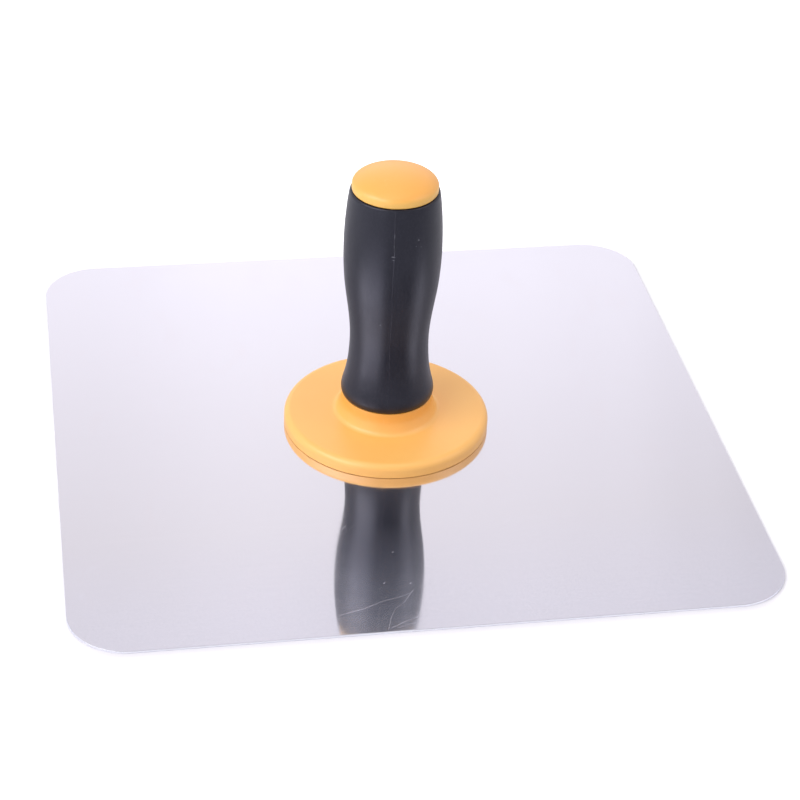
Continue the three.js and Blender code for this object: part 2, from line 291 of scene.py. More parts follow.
class Nodes:
    """Adds nodes to a shader tree. Inputs may be numbers or other nodes' outputs."""

    def __init__(self, tree):
        self.tree = tree

    def new(self, kind):
        return self.tree.nodes.new("ShaderNode" + kind)

    def put(self, node, key, value):
        if is_socket(value):
            self.tree.links.new(value, node.inputs[key])
        else:
            node.inputs[key].default_value = value

    def math(self, op, *values, clamp=False):
        n = self.new("Math")
        n.operation = op
        n.use_clamp = clamp
        for i, value in enumerate(values):
            self.put(n, i, value)
        return n.outputs[0]

    def mul(self, a, b, clamp=False):
        return self.math("MULTIPLY", a, b, clamp=clamp)

    def fold(self, op, values):
        """Runs op over the values from left to right."""
        return reduce(lambda a, b: self.math(op, a, b), values)

    def span(self, value, over, to=(0.0, 1.0)):
        """Maps value from the range over to the range to, clamped."""
        n = self.new("MapRange")
        n.clamp = True
        for i, x in enumerate((value, *over, *to)):
            self.put(n, i, x)
        return n.outputs[0]

    def mix(self, factor, a, b, blend="MIX"):
        n = self.new("Mix")
        n.data_type = "RGBA"
        n.blend_type = blend
        for i, value in ((0, factor), (6, rgba(a)), (7, rgba(b))):
            self.put(n, i, value)
        return n.outputs[2]

    def split_position(self, output):
        """X, Y and Z of a texture coordinate."""
        n = self.new("SeparateXYZ")
        self.put(n, 0, self.new("TexCoord").outputs[output])
        return n.outputs


class Mat(Nodes):
    """A Principled material; positions come from object space, in millimetres."""

    INPUTS = {"color": "Base Color", "rough": "Roughness", "metal": "Metallic",
              "normal": "Normal", "spec": "Specular IOR Level", "spec_tint": "Specular Tint",
              "coat": "Coat Weight", "coat_rough": "Coat Roughness", "coat_ior": "Coat IOR",
              "coat_tint": "Coat Tint", "aniso": "Anisotropic", "tangent": "Tangent",
              "sheen": "Sheen Weight", "sheen_rough": "Sheen Roughness",
              "sheen_tint": "Sheen Tint"}

    def __init__(self, name):
        self.material = bpy.data.materials.new(name)
        self.material.use_nodes = True
        super().__init__(self.material.node_tree)
        self.tree.nodes.clear()
        out = self.new("OutputMaterial")
        self.bsdf = self.new("BsdfPrincipled")
        self.put(out, "Surface", self.bsdf.outputs["BSDF"])
        place = self.new("TexCoord").outputs["Object"]
        self.pos = self.vector("SCALE", place, scale=1000.0)

    def vector(self, op, a, b=None, scale=None):
        n = self.new("VectorMath")
        n.operation = op
        for key, value in ((0, a), (1, b), ("Scale", scale)):
            if value is not None:
                self.put(n, key, value)
        return n.outputs["Value" if op in ("LENGTH", "DISTANCE", "DOT_PRODUCT") else "Vector"]

    def along(self, direction, vector=None):
        """How far the position, or another vector, reaches in a direction."""
        return self.vector("DOT_PRODUCT", self.pos if vector is None else vector, direction)

    def combine(self, *xyz):
        n = self.new("CombineXYZ")
        for i, value in enumerate(xyz):
            self.put(n, i, value)
        return n.outputs[0]

    def geometry(self, output):
        return self.new("NewGeometry").outputs[output]

    def noise(self, scale, size=(1.0, 1.0, 1.0), detail=3.0, rough=0.55, offset=(0, 0, 0),
              distort=0.0, vec=None):
        place = self.vector("MULTIPLY", self.pos if vec is None else vec, size)
        if any(offset):
            place = self.vector("ADD", place, offset)
        n = self.new("TexNoise")
        for key, value in (("Scale", scale), ("Detail", detail), ("Roughness", rough),
                           ("Distortion", distort), ("Vector", place)):
            self.put(n, key, value)
        return n.outputs["Fac"]

    def cells(self, scale, offset=(0, 0, 0)):
        """Distance to the nearest of scattered points."""
        place = self.vector("ADD", self.vector("MULTIPLY", self.pos, (1, 1, 1)), offset)
        n = self.new("TexVoronoi")
        self.put(n, "Scale", scale)
        self.put(n, "Vector", place)
        return n.outputs["Distance"]

    def total(self, base=None, swings=(), adds=()):
        """base, plus (noise, amount) swings centred on 0.5, plus (value, amount) additions."""
        terms = [] if base is None else [base]
        terms += [self.mul(self.math("SUBTRACT", v, 0.5), amount) for v, amount in swings]
        terms += [self.mul(v, amount) for v, amount in adds]
        return self.fold("ADD", terms)

    def tint(self, base, mask, amount, colour):
        """Moves base towards colour by amount where the mask is 1."""
        return self.mix(self.mul(mask, amount), base, colour)

    def bump(self, height, strength, distance):
        n = self.new("Bump")
        for key, value in (("Strength", strength), ("Distance", distance * MM),
                           ("Height", height)):
            self.put(n, key, value)
        return n.outputs["Normal"]

    def segment(self, x1, y1, x2, y2, width):
        """1 on a line in the XY plane, fading to 0 at width, in millimetres."""
        dx, dy = x2 - x1, y2 - y1
        flat = self.vector("MULTIPLY", self.pos, (1, 1, 0))
        rel = self.vector("SUBTRACT", flat, (x1, y1, 0))
        share = self.math("DIVIDE", self.along((dx, dy, 0), rel), dx * dx + dy * dy, clamp=True)
        nearest = self.combine(self.mul(share, dx), self.mul(share, dy))
        return self.span(self.vector("DISTANCE", rel, nearest), over=(0.0, width), to=(1.0, 0.0))

    def surface(self, **inputs):
        """Sets the Principled inputs and returns the material."""
        for key, value in inputs.items():
            self.put(self.bsdf, self.INPUTS[key],
                     rgba(value) if isinstance(value, tuple) else value)
        return self.material


# ------------------------------------------------------------------ materials
# scratches and pits on the plate: x1, y1, x2, y2, width, strength
SCRATCHES = (
    (-40.6, -137.4, -30.4, -134.4, 0.24, 0.9), (-30.4, -134.4, -21.5, -130.3, 0.24, 0.85),
    (-21.5, -130.3, -13.9, -128.3, 0.22, 0.75), (-13.9, -128.3, -8.2, -125.6, 0.20, 0.6),
    (-8.6, -125.0, -13.4, -132.2, 0.20, 0.7), (-13.4, -132.2, -17.7, -135.9, 0.24, 0.5),
    (-17.7, -135.9, -20.2, -141.3, 0.24, 0.45), (-20.2, -141.3, -22.4, -148.4, 0.22, 0.65),
    (-21.2, -147.9, -14.6, -144.2, 0.20, 0.8), (-14.6, -144.2, -7.9, -141.4, 0.17, 0.6),
    (-19.0, -148.2, -8.4, -144.6, 0.13, 0.35),
    (-8.9, -120.2, -8.3, -120.0, 0.50, 1.0), (-19.8, -118.9, -19.3, -118.6, 0.50, 1.0),
    (-12.8, -98.6, -12.4, -98.4, 0.48, 1.0), (-23.8, -120.6, -23.5, -120.4, 0.36, 0.8))
# hair scratches: slant in radians, noise offset
HAIRS = ((0.5, 3.0), (-0.9, 17.0), (1.35, 31.0))


def hair_scratches(k):
    """Thin iso-lines of stretched noise, in patches."""
    lines = []
    for slant, offset in HAIRS:
        c, s = math.cos(slant), math.sin(slant)
        lengthwise = k.mul(k.along((c, s, 0)), 0.012)
        crosswise = k.mul(k.along((-s, c, 0)), 0.16)
        n = k.noise(scale=1.0, detail=1, rough=0.4, vec=k.combine(lengthwise, crosswise, offset))
        off_line = k.math("ABSOLUTE", k.math("SUBTRACT", n, 0.5))
        line = k.span(off_line, over=(0.0, 0.0022), to=(1.0, 0.0))
        patches = k.noise(scale=0.03, detail=2, offset=(offset, 2 * offset, 0))
        lines.append(k.mul(line, k.span(patches, over=(0.56, 0.66))))
    return k.fold("MAXIMUM", lines)


def sheet_metal():
    """Bright rolled sheet: fine streaks along X, light scuffs, scratches, dull cut edge."""
    k = Mat("sheet_metal")
    streak = k.noise(scale=1.0, size=(0.010, 1.15, 0.2), detail=4, rough=0.62)
    fine = k.noise(scale=1.0, size=(0.018, 4.5, 0.5), rough=0.6, offset=(7, 3, 0))
    cloud = k.noise(scale=0.016, offset=(3, 1, 0))
    smear = k.noise(scale=0.05, size=(1.0, 0.45, 1.0), detail=4, rough=0.6, offset=(11, 5, 0),
                    distort=0.6)
    speck = k.span(k.cells(scale=0.20, offset=(4.3, 9.1, 0)), over=(0.045, 0.085), to=(1.0, 0.0))
    patches = k.noise(scale=0.09, offset=(21, 2, 0))
    speck = k.mul(speck, k.span(patches, over=(0.52, 0.6)))
    scratch = k.fold("MAXIMUM", [k.mul(k.segment(*line), level) for *line, level in SCRATCHES])
    gaps = k.noise(scale=0.75, detail=2, offset=(5, 5, 5))
    scratch = k.mul(scratch, k.span(gaps, over=(0.34, 0.52), to=(0.45, 1.0)))
    hairs = hair_scratches(k)
    # the cut edge and the dimple's slope are duller than the rolled faces
    level = k.math("ABSOLUTE", k.along((0, 0, 1), k.geometry("Normal")))
    cut = k.span(level, over=(0.80, 0.99), to=(1.0, 0.0))
    tone = k.total(swings=[(streak, 0.14), (fine, 0.12), (cloud, 0.05)])
    dull, bright = (0.83, 0.815, 0.86), (0.95, 0.93, 0.98)
    col = k.mix(k.math("ADD", tone, 0.5, clamp=True), dull, bright)
    col = k.tint(col, k.span(smear, over=(0.56, 0.72)), amount=0.10, colour=(0.86, 0.78, 0.80))
    col = k.tint(col, speck, amount=0.35, colour=(0.62, 0.55, 0.56))
    col = k.tint(col, cut, amount=0.85, colour=(0.70, 0.70, 0.73))
    rough = k.total(base=0.054, swings=[(streak, 0.05), (fine, 0.06)],
                    adds=[(k.span(smear, over=(0.5, 0.75)), 0.035), (scratch, 0.24),
                          (hairs, 0.10), (speck, 0.15), (cut, 0.22)])
    relief = k.total(adds=[(fine, 0.35), (streak, 0.25), (scratch, -3.0), (hairs, -1.2),
                           (speck, 2.0)])
    # a film of fine dust and polish, thicker towards the front edge and in smears
    reach = k.span(k.along((0, -1, 0)), over=(78.0, 148.0), to=(0.08, 0.96))
    dust = k.noise(scale=0.9, size=(1.0, 0.6, 1.0), detail=5, rough=0.7, offset=(8, 1, 0))
    dusty = k.total(base=1.0, swings=[(dust, 1.35), (fine, 0.9)],
                    adds=[(k.span(smear, over=(0.40, 0.70)), 0.12)])
    haze = k.mul(reach, dusty, clamp=True)
    film = k.mul(haze, 0.95, clamp=True)
    return k.surface(color=col, rough=rough, metal=1.0, aniso=1.0,
                     tangent=k.combine(0.0, 1.0, 0.0),
                     coat=haze, coat_rough=0.40, coat_ior=2.0, coat_tint=(0.97, 0.97, 1.0),
                     sheen=film, sheen_rough=0.48, sheen_tint=(0.69, 0.74, 1.0),
                     normal=k.bump(relief, strength=0.10, distance=0.02))


def moulded_yellow(name, low, high, collar_shade=0.0, lip=0.0):
    """Satin moulded polypropylene between two tones: slow drift, fine spark-eroded grain,
    faint scuffs. Painted light and shade: the collar's argument paints shade on the collar as a
    deeper orange, lip paints light on the cap's side wall as a paler tone."""
    k = Mat(name)
    drift = k.noise(scale=0.045, rough=0.5)
    mottle = k.noise(scale=0.55, detail=4, rough=0.6, offset=(9, 2, 5))
    grain = k.noise(scale=5.5, rough=0.65)
    fine = k.noise(scale=14.0, detail=2, rough=0.6, offset=(3, 3, 3))
    scuff = k.noise(scale=0.35, size=(1, 1, 0.25), detail=5, rough=0.7, offset=(2, 8, 1))
    patches = k.noise(scale=0.07, offset=(14, 4, 2))
    scuff = k.mul(k.span(scuff, over=(0.60, 0.72)), k.span(patches, over=(0.50, 0.62)))
    tone = k.total(base=0.5, swings=[(drift, 0.9), (mottle, 0.35), (grain, 0.18)])
    col = k.mix(k.math("ADD", tone, 0.0, clamp=True), low, high)
    # painted shade: from 9 mm up, the collar blends into a deeper orange than the flat flange,
    # standing in for the shade on its upright wall
    collar = k.span(k.along((0, 0, 1)), over=(9.0, 15.0), to=(0.0, collar_shade))
    col = k.mix(collar, col, (0.90, 0.40, 0.055))
    # painted light: the cap's side wall and the foot of its dome are painted paler than the dome,
    # standing in for light the wall misses and a highlight along the lip
    wear_and_lip_light = k.span(k.along((0, 0, 1)), over=(122.9, 124.9), to=(lip, 0.0))
    col = k.mix(wear_and_lip_light, col, (0.95, 0.54, 0.115))
    col = k.tint(col, scuff, amount=0.18, colour=(0.97, 0.68, 0.36))
    rough = k.total(base=0.41, swings=[(mottle, 0.14), (grain, 0.10)], adds=[(scuff, 0.10)])
    relief = k.total(adds=[(grain, 0.6), (fine, 0.35), (mottle, 0.5)])
    return k.surface(color=col, rough=rough, metal=0.0, spec=0.84,
                     normal=k.bump(relief, strength=0.24, distance=0.04))


# pale scuffs on the grip: angle in degrees, height, radius, half width, half height, strength
GRIP_SCUFFS = (
    (-99.6, 99.0, 21.4, 0.9, 0.28, 0.9), (-99.2, 97.6, 21.4, 0.6, 0.2, 0.4),
    (-98.6, 109.0, 20.8, 0.16, 1.3, 0.5), (-98.9, 104.0, 21.1, 0.15, 1.0, 0.35),
    (-69.0, 106.0, 21.1, 0.4, 0.45, 0.8), (-72.5, 103.4, 21.2, 0.3, 0.3, 0.35),
    (-66.0, 102.6, 21.2, 0.35, 0.25, 0.35), (-38.0, 19.6, 20.9, 0.7, 0.35, 0.6),
    (-113.0, 63.0, 19.0, 0.3, 0.5, 0.3), (95.0, 89.0, 21.5, 0.7, 0.3, 0.6))


def grip_scuffs(k):
    """Soft-edged ellipses where the rubber has been nicked."""
    spots = []
    for degrees, z, r, half_width, half_height, level in GRIP_SCUFFS:
        angle = math.radians(degrees)
        c, s = math.cos(angle), math.sin(angle)
        rel = k.vector("SUBTRACT", k.pos, (r * c, r * s, z))
        girth = k.math("DIVIDE", k.along((-s, c, 0), rel), half_width)
        height = k.math("DIVIDE", k.along((0, 0, 1), rel), half_height)
        depth = k.math("DIVIDE", k.along((c, s, 0), rel), 3.0)
        distance = k.vector("LENGTH", k.combine(girth, height, depth))
        spots.append(k.span(distance, over=(0.55, 1.25), to=(level, 0.0)))
    broken = k.noise(scale=3.2, offset=(1, 4, 6))
    return k.mul(k.fold("MAXIMUM", spots), k.span(broken, over=(0.38, 0.55), to=(0.35, 1.0)))


def soft_black():
    """Soft-touch grip rubber: blue-black, satin, pebble grain, rubbed patches, dust."""
    k = Mat("soft_black")
    drift = k.noise(scale=0.05, offset=(1, 1, 1))
    rub = k.noise(scale=0.11, size=(1, 1, 0.5), detail=4, rough=0.6, offset=(4, 9, 2))
    pebble = k.cells(scale=2.6)
    grain = k.noise(scale=6.0, rough=0.65)
    dust = k.noise(scale=2.2, detail=5, rough=0.75, offset=(8, 8, 3))
    patches = k.noise(scale=0.09, offset=(5, 6, 7))
    dust = k.mul(k.span(dust, over=(0.68, 0.78)), k.span(patches, over=(0.45, 0.65)))
    streaks = k.noise(scale=1.0, size=(1.6, 1.6, 0.05), rough=0.6, offset=(2, 5, 1))
    mottle = k.noise(scale=1.1, size=(1.0, 1.0, 0.55), detail=5, rough=0.72, offset=(6, 3, 9))
    dark, light = (0.0062, 0.0068, 0.0115), (0.0105, 0.0112, 0.0180)
    col = k.mix(drift, dark, light)
    col = k.tint(col, k.span(rub, over=(0.5, 0.75)), amount=0.35, colour=(0.019, 0.0195, 0.028))
    col = k.tint(col, k.span(mottle, over=(0.48, 0.66)), amount=0.45,
                 colour=(0.021, 0.0215, 0.030))
    col = k.tint(col, dust, amount=0.20, colour=(0.24, 0.235, 0.26))
    col = k.tint(col, grip_scuffs(k), amount=0.75, colour=(0.23, 0.23, 0.26))
    rough = k.total(base=0.385, adds=[(dust, 0.2)],
                    swings=[(rub, 0.16), (mottle, 0.22), (grain, 0.10), (streaks, 0.08)])
    relief = k.total(adds=[(pebble, 0.5), (grain, 0.6), (mottle, 0.8)])
    return k.surface(color=col, rough=rough, metal=0.0, spec=0.52, spec_tint=(0.84, 0.85, 1.0),
                     normal=k.bump(relief, strength=0.36, distance=0.06))


def gasket_rubber():
    """Matt black rubber with dust."""
    k = Mat("gasket_rubber")
    mottle = k.noise(scale=0.8, detail=4)
    grain = k.noise(scale=7.0, offset=(1, 2, 3))
    dust = k.noise(scale=1.6, detail=5, rough=0.7, offset=(5, 1, 2))
    dark, light = (0.008, 0.008, 0.009), (0.030, 0.029, 0.031)
    col = k.mix(k.span(mottle, over=(0.3, 0.7)), dark, light)
    col = k.tint(col, k.span(dust, over=(0.58, 0.72)), amount=0.40, colour=(0.12, 0.115, 0.11))
    return k.surface(color=col, rough=k.total(base=0.72, swings=[(mottle, 0.25)]), spec=0.4,
                     normal=k.bump(grain, strength=0.35, distance=0.06))


def zinc_plate():
    """Zinc-plated steel: bluish with a warm bloom, turned marks, rubbed bright on its edges."""
    k = Mat("zinc_plate")
    bloom = k.noise(scale=0.16, rough=0.6)
    grain = k.noise(scale=1.0, size=(1.2, 1.2, 4.0), detail=4, rough=0.65, offset=(3, 3, 0))
    spots = k.span(k.cells(scale=1.3, offset=(3, 7, 1)), over=(0.05, 0.12), to=(1.0, 0.0))
    wear_and_lip_light = k.span(k.geometry("Pointiness"), over=(0.52, 0.60))
    bluish, warm = (0.50, 0.53, 0.57), (0.66, 0.64, 0.58)
    col = k.mix(k.span(bloom, over=(0.35, 0.65)), bluish, warm)
    col = k.tint(col, wear_and_lip_light, amount=0.6, colour=(0.82, 0.82, 0.82))
    col = k.tint(col, spots, amount=0.4, colour=(0.34, 0.33, 0.31))
    rough = k.total(base=0.36, swings=[(bloom, 0.2), (grain, 0.16)], adds=[(wear_and_lip_light, -0.1)])
    relief = k.math("ADD", grain, spots)
    return k.surface(color=col, rough=rough, metal=1.0,
                     normal=k.bump(relief, strength=0.14, distance=0.03))


def machined_brass():
    """Tarnished brass with turned marks, brighter on its edges."""
    k = Mat("machined_brass")
    tarnish = k.noise(scale=0.22, detail=4, rough=0.6)
    marks = k.noise(scale=1.0, size=(0.4, 0.4, 9.0), rough=0.6)
    wear_and_lip_light = k.span(k.geometry("Pointiness"), over=(0.51, 0.60))
    clean, tarnished = (0.80, 0.60, 0.28), (0.55, 0.37, 0.16)
    col = k.mix(k.span(tarnish, over=(0.35, 0.7)), clean, tarnished)
    col = k.tint(col, wear_and_lip_light, amount=0.6, colour=(0.92, 0.76, 0.42))
    rough = k.total(base=0.28, swings=[(tarnish, 0.25), (marks, 0.15)])
    return k.surface(color=col, rough=rough, metal=1.0,
                     normal=k.bump(marks, strength=0.12, distance=0.03))


# ------------------------------------------------------------------ plate
DIMPLE_R = 17.0                    # where the flat sheet ends towards the middle
DIMPLE_HOLE = 5.75
# how far each ring of the flat lies from the dimple (0) to the edge (1)
FLAT_STEPS = (0.004, 0.12, 0.3, 0.5, 0.7, 0.86, 0.96, 1.0)
# deburred edge, from the handle side down: inset, z
EDGE = ((0.17, 1.0), (0.12, 0.994), (0.07, 0.974), (0.032, 0.942), (0.009, 0.90), (0.0, 0.85),
        (0.0, 0.22), (0.035, 0.10), (0.12, 0.025), (0.25, 0.0))


def plate_outline(inset, straight=26, bend=26):
    """Rounded square, anticlockwise, with the same count of points at any inset."""
    half, radius = HALF - inset, CORNER - inset
    side = [(half, -(half - radius) + 2 * (half - radius) * i / straight)
            for i in range(straight)]
    for i in range(bend):
        a = math.pi / 2 * i / bend
        side.append((half - radius + radius * math.cos(a), half - radius + radius * math.sin(a)))
    points = []
    for q in range(4):
        c, s = math.cos(q * math.pi / 2), math.sin(q * math.pi / 2)
        points += [(x * c - y * s, x * s + y * c) for x, y in side]
    return np.array(points)


def build_plate():
    outer = plate_outline(0.0)
    angles = np.arctan2(outer[:, 1], outer[:, 0])
    circle = np.stack([np.cos(angles), np.sin(angles)], 1)

    def level(xy, z):
        return np.concatenate([xy, np.full((len(xy), 1), z)], 1)

    def flat(inset, z, steps):
        edge = plate_outline(inset)
        return [level(circle * DIMPLE_R * (1 - s) + edge * s, z) for s in steps]

    # handle side of the dimple, outwards: hole edge, cone, bend into the flat sheet
    top = rounded([(DIMPLE_HOLE, 4.55), (6.4, 5.2, 0.12), (10.6, SHEET, 2.6), (DIMPLE_R, SHEET)],
                  closed=False, step=9)
    low = rounded([(DIMPLE_R, 0.0), (10.2, 0.0, 1.0), (DIMPLE_HOLE, 4.45, 0.08)],
                  closed=False, step=9)
    rings = [level(circle * r, z) for r, z in top]
    rings += flat(0.26, SHEET, FLAT_STEPS)
    rings += [level(plate_outline(inset), z) for inset, z in EDGE]
    rings += flat(0.38, 0.0, FLAT_STEPS[::-1])
    rings += [level(circle * r, z) for r, z in low]
    return new_object("hawk_plate", *loft(rings, wrap=True), sharp=55, weld=0.004)


# ------------------------------------------------------------------ stud, disc, washer, nut
def build_stud():
    """Flat-headed stud, its hexagon socket opening downwards."""
    segments = 96
    angles = even_angles(segments)
    base = STUD_BASE
    socket_flat, socket_depth = 3.0, 3.2
    thread_start, thread_end = 8.4, 36.0
    shank_r, tip_r = 4.55, 3.75
    socket = hexagon(socket_flat, angles)
    socket_corner = socket_flat / math.cos(TAU / 12)
    profile = [(0.0, base + socket_depth + 0.9), (socket_flat * 0.96, base + socket_depth),
               (socket, base + socket_depth - 0.02), (socket, base + 0.35),
               (socket * 0.5 + 0.5 * socket_corner + 0.16, base + 0.02)]
    profile += rounded([(5.0, base), (9.3, base, 0.12), (9.3, base + 0.32, 0.1),
                        (4.9, 4.78, 0.6), (shank_r, thread_start)], closed=False)
    thread = helix_wall(segments, thread_start, thread_end, r_major=4.94, r_minor=4.06,
                        r_lo=shank_r, r_hi=tip_r, lead=1.2)
    tip = [(tip_r, thread_end), (3.4, 36.02), (0.0, 36.02)]
    parts = join_parts(turned(profile, angles, wrap=False), thread,
                       turned(tip, angles, wrap=False))
    return new_object("hawk_stud", *parts, sharp=32)


def build_disc():
    """Pressed backing disc with a raised hub."""
    profile = rounded([
        (25.0, 1.3, 0.25), (25.0, 2.8, 0.5), (11.4, 2.8, 2.0), (7.2, 7.0, 0.6), (5.5, 7.0, 0.2),
        (5.5, 5.5, 0.2), (6.6, 5.5, 0.3), (10.8, 1.3, 1.4)])
    profile = support(profile, closed=True)
    return new_object("hawk_backing_disc", *turned(profile, even_angles(128)), sharp=50)


def build_split_washer():
    """Square-section spring wire, one turn, ends cut on a slant and standing slightly apart."""
    z_lo, z_hi = WASHER_Z
    z_mid = (z_lo + z_hi) / 2
    r_inner, r_outer = 5.4, 9.0
    half_height, half_width = (z_hi - z_lo) / 2 - 0.12, (r_outer - r_inner) / 2
    r_mid = (r_outer + r_inner) / 2
    corner = 0.25
    gap, slant = math.radians(6.5), math.radians(3.2)
    lift = 0.2                     # rise from one end to the other
    steps = 110
    section = rounded([(-half_width, -half_height, corner), (half_width, -half_height, corner),
                       (half_width, half_height, corner), (-half_width, half_height, corner)],
                      step=30)
    sections = []
    for i in range(steps + 1):
        f = i / steps
        verts = []
        for r, z in section:
            a = gap / 2 + (TAU - gap) * f + (z / half_height) * slant * (abs(2 * f - 1) ** 3)
            verts.append(((r_mid + r) * math.cos(a), (r_mid + r) * math.sin(a),
                          z_mid + z + (f - 0.5) * lift))
        sections.append(verts)
    verts, faces = loft(sections)
    n = len(section)
    faces.append(tuple(range(n)))
    faces.append(tuple(steps * n + i for i in range(n - 1, -1, -1)))
    return new_object("hawk_split_washer", verts, faces, sharp=40)


def bore_thread(segments, z_lo, z_hi):
    return helix_wall(segments, z_lo, z_hi, r_major=BORE_MAJOR, r_minor=BORE_MINOR,
                      r_lo=BORE_MAJOR, r_hi=BORE_MAJOR)


def build_nut():
    segments = 96
    angles = even_angles(segments)
    z_lo, z_hi = NUT_Z
    flat = 17.0 / 2
    face_r = flat * 0.955
    mouth_r, mouth_depth = 5.75, 0.62
    hexa = hexagon(flat, angles)
    # the corners are chamfered at 30 degrees
    drop = np.maximum(0, hexa - face_r) * math.tan(math.radians(30))
    profile = [
        (BORE_MAJOR, z_lo + mouth_depth), (mouth_r, z_lo), (face_r, z_lo),
        (hexa - 0.12, z_lo + drop - 0.04), (hexa, z_lo + drop + 0.06), (hexa, (z_lo + z_hi) / 2),
        (hexa, z_hi - drop - 0.06), (hexa - 0.12, z_hi - drop + 0.04),
        (face_r, z_hi), (mouth_r, z_hi), (BORE_MAJOR, z_hi - mouth_depth)]
    parts = join_parts(turned(profile, angles, wrap=False),
                       bore_thread(segments, z_lo + mouth_depth, z_hi - mouth_depth))
    return new_object("hawk_lock_nut", *parts, sharp=30)


# ------------------------------------------------------------------ gasket
def build_gasket():
    z_lo, z_hi = GASKET_Z
    r_inner = 37.0
    profile = rounded([(r_inner, z_lo, 0.1), (GASKET_R, z_lo, 0.15), (GASKET_R, z_hi, 0.15),
                       (r_inner, z_hi, 0.1)], step=30)
    return new_object("hawk_gasket", *turned(profile, even_angles(192)), sharp=60)


# ------------------------------------------------------------------ handle core
RIBS = 12
COLUMNS_PER_RIB = 16
RIB_HALF, RIB_DRAFT = 0.8, 0.22
FLANGE_LIP = SHEET + 0.10          # underside of the flange's rim
FLANGE_TOP = 7.5
LAND_R = 37.0                      # inner radius of the rim land
CEILING = 4.6                      # underside of the flange between ribs
# from the rim land out over the flange, up the collar and tube, then down the bore with its
# seat for the insert: r, z, corner radius
CORE_OUTLINE = (
    (LAND_R, CORE_BASE, 0.15), (45.86, CORE_BASE, 0.05), (45.95, FLANGE_LIP, 0.08),
    (FLANGE_R - 0.03, FLANGE_LIP, 0.28), (FLANGE_R, FLANGE_TOP, 3.1),
    (23.2, FLANGE_TOP + 0.12, 2.6), (21.1, FLANGE_TOP + 5.5, 6.0), (20.42, 16.6, 0.0),
    (20.25, 17.3, 0.25), (14.7, 17.3, 0.25), (14.7, 120.7, 0.5), (12.0, 120.7, 0.4),
    (12.0, 112.6, 0.1), (12.8, 112.0, 0.1), (12.8, 110.6, 0.1), (12.0, 110.0, 0.1),
    (12.0, 38.0, 0.8), (8.3, 36.2, 0.4), (5.7, 36.2, 0.3), (5.7, 33.5, 0.05), (7.8, 33.5, 0.05),
    (7.8, 29.2, 0.05), (6.9, 28.6, 0.05), (6.9, 26.4, 0.05), (7.8, 25.8, 0.05),
    (7.8, 21.5, 0.05), (5.7, 21.5, 0.05), (5.7, 18.9, 0.3), (12.3, 18.9, 0.6),
    (12.6, 6.0, 0.0), (14.0, 4.6, 0.0))
# ribbed underside, from the hub out to the rim land: r, z between ribs, z on a rib
CORE_UNDERSIDE = (
    (14.4, CEILING, CEILING), (26.35, CEILING, CEILING), (26.4, CEILING, CEILING - 0.4),
    (26.75, CEILING, 2.15), (27.1, CEILING, 1.95), (32.0, CEILING, 1.9), (35.6, CEILING, 1.9),
    (36.15, CEILING - 0.15, 1.9), (36.35, CEILING - 0.6, 1.9), (36.5, 1.9, 1.88),
    (36.6, CORE_BASE + 0.06, CORE_BASE + 0.06))


def rib_columns(r):
    """Angles that bunch at each rib's two faces, the rest spread evenly between ribs."""
    crest, foot = RIB_HALF / r, (RIB_HALF + RIB_DRAFT) / r
    between = COLUMNS_PER_RIB - 4
    gap = TAU / RIBS - 2 * foot
    out = []
    for s in range(RIBS):
        mid = s * TAU / RIBS + TAU / (2 * RIBS)
        out += [mid - foot, mid - crest, mid + crest, mid + foot]
        out += [mid + foot + gap * (i + 1) / (between + 1) for i in range(between)]
    return np.array(out)


def build_core():
    # each group's second and third columns are the rib's crest
    in_rib = np.isin(np.arange(RIBS * COLUMNS_PER_RIB) % COLUMNS_PER_RIB, (1, 2))

    def core_ring(r, z, rib_z):
        return ring(r, np.where(in_rib, rib_z, z), rib_columns(min(max(r, 14.0), LAND_R)))

    outline = support(rounded(CORE_OUTLINE, closed=False, step=9))
    # long runs get rings of their own so the shading stays even
    stations = [outline[0]]
    for (r, z), (next_r, next_z) in zip(outline, outline[1:]):
        length = math.hypot(next_r - r, next_z - z)
        extra = int(length // 6) if length > 7.0 else 0
        for q in range(1, extra + 1):
            f = q / (extra + 1)
            stations.append((r + (next_r - r) * f, z + (next_z - z) * f))
        stations.append((next_r, next_z))
    rings = [core_ring(r, z, z) for r, z in stations]
    rings += [core_ring(*station) for station in CORE_UNDERSIDE]
    return new_object("hawk_handle_core", *loft(rings, wrap=True), sharp=48)


# ------------------------------------------------------------------ insert
def build_insert():
    """Threaded insert: two toothed bands with a groove between them."""
    segments = 144
    angles = even_angles(segments)
    z_lo, z_hi = INSERT_Z
    tooth = np.tile([0.0, -0.05, -0.38, -0.05], segments // 4)
    mouth_depth = 0.6
    # r, z, share of the tooth depth
    stations = (
        (BORE_MAJOR, z_lo + mouth_depth, 0.0), (5.8, z_lo, 0.0), (6.9, z_lo, 0.0),
        (7.45, z_lo + 0.5, 1.0), (7.5, 25.7, 1.0), (7.1, 25.95, 0.3), (6.62, 26.15, 0.0),
        (6.62, 28.85, 0.0), (7.1, 29.05, 0.3), (7.5, 29.3, 1.0), (7.45, z_hi - 0.5, 1.0),
        (6.9, z_hi, 0.0), (5.8, z_hi, 0.0), (BORE_MAJOR, z_hi - mouth_depth, 0.0))
    profile = [(r + tooth * share, z) for r, z, share in stations]
    parts = join_parts(turned(profile, angles, wrap=False),
                       bore_thread(segments, z_lo + mouth_depth, z_hi - mouth_depth))
    return new_object("hawk_insert", *parts, sharp=30)


